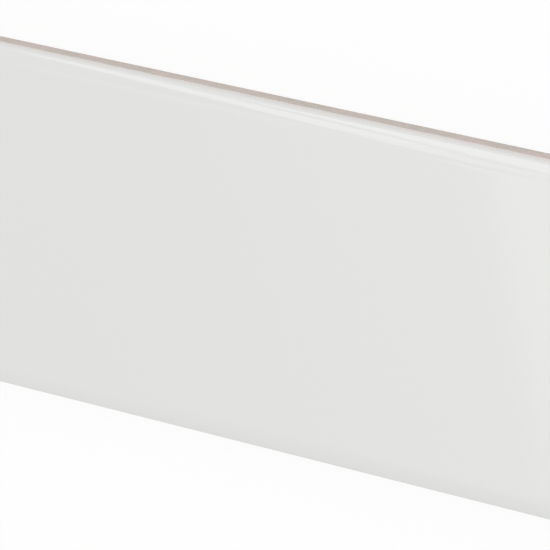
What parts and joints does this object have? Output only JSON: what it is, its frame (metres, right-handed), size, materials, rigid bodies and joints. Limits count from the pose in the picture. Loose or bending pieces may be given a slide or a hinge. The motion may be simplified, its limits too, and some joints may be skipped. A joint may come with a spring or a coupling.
{
  "type": "chevron wall tile",
  "caption": "Flat glazed ceramic wall tile, a parallelogram with mitred ends, cushioned glazed margins and a keyed back, stored face up.",
  "frame": {"origin": "middle of the bedding plane on which the back rests", "axes": "+X along the long edges, +Z out of the glazed face, +Y across the tile; the ends slant so that the +Y long edge lies towards -X"},
  "size_m": [0.234, 0.052, 0.0083],
  "materials": {
    "glazed_body": "gloss white glaze over a pale fired clay body"
  },
  "bodies": {
    "root": {"chevron_tile": "glazed_body"}
  },
  "joints": []
}
